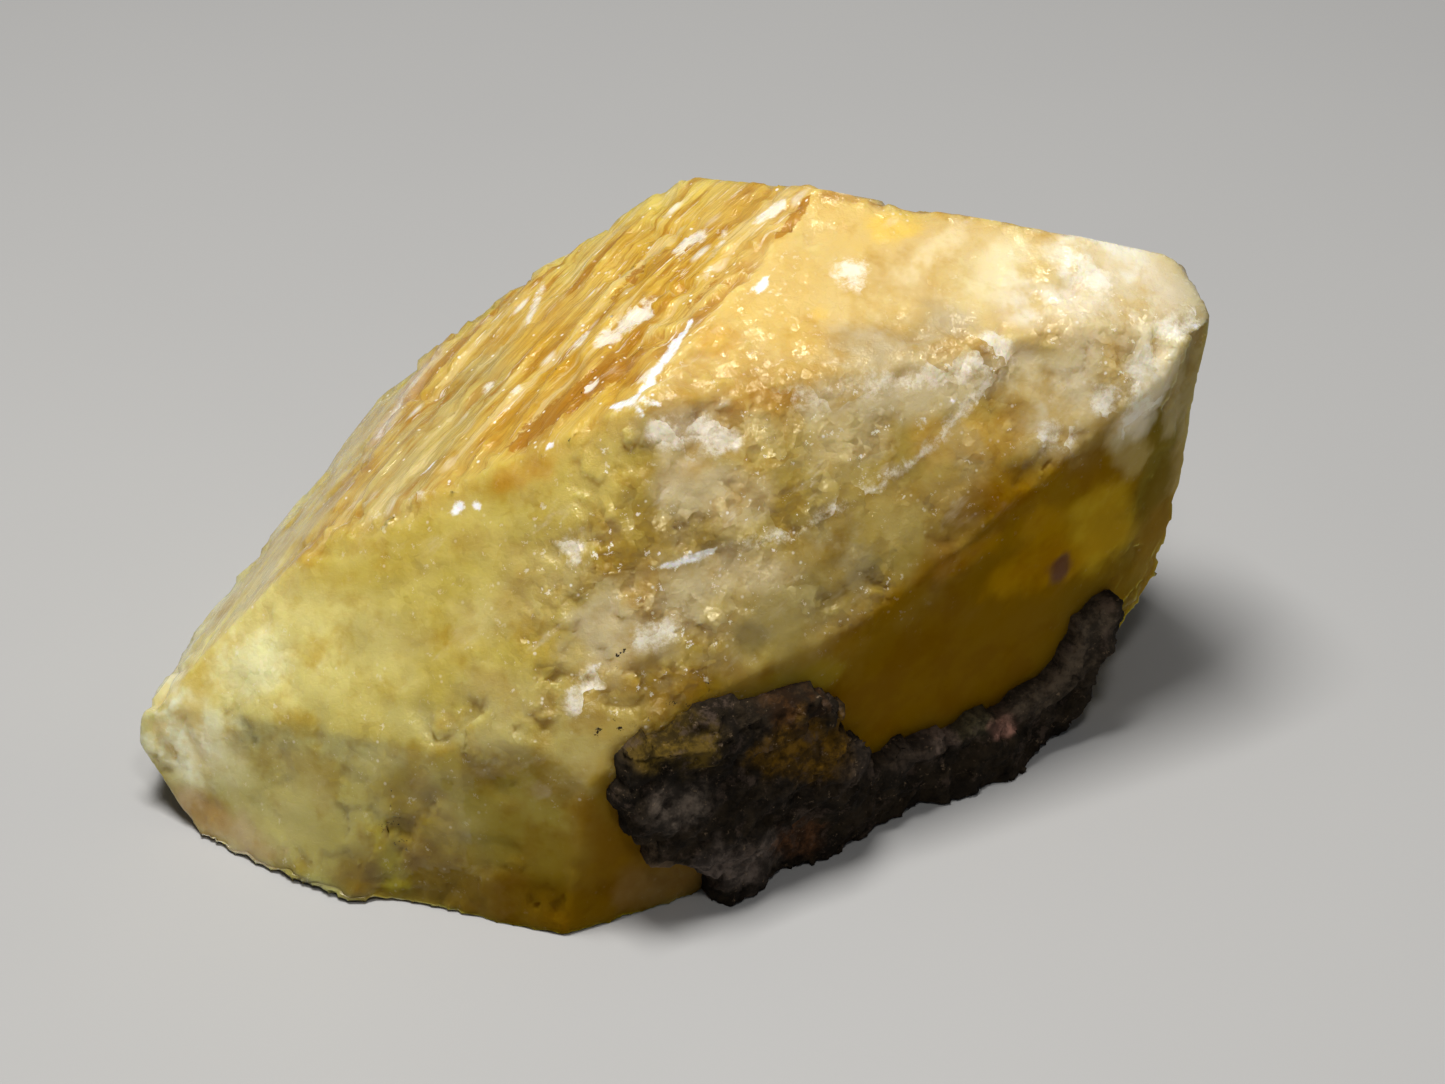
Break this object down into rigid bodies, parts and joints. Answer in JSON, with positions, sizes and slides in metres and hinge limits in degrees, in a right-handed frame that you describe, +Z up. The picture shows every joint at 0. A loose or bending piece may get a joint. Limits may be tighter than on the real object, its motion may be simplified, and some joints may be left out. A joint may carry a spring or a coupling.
{
  "type": "datolite crystal",
  "caption": "Thick, blocky mineral crystal with flat growth facets, a streaked upper face and a thin crust of dark host rock along its lower front, lying on a flat base facet.",
  "frame": {"origin": "centre of the footprint box, on the resting plane, inside the crystal's base facet", "axes": "+X along the crystal's length towards its blunt end, +Y away from the side that carries the host rock, +Z up"},
  "size_m": [0.0302, 0.02, 0.0163],
  "materials": {
    "datolite": "cloudy and translucent, honey to pale yellow-green, glossy with frosted patches",
    "host_rock": "rough, matt, grainy"
  },
  "bodies": {
    "root": {"crystal": "datolite", "matrix_crust": "host_rock"}
  },
  "joints": []
}
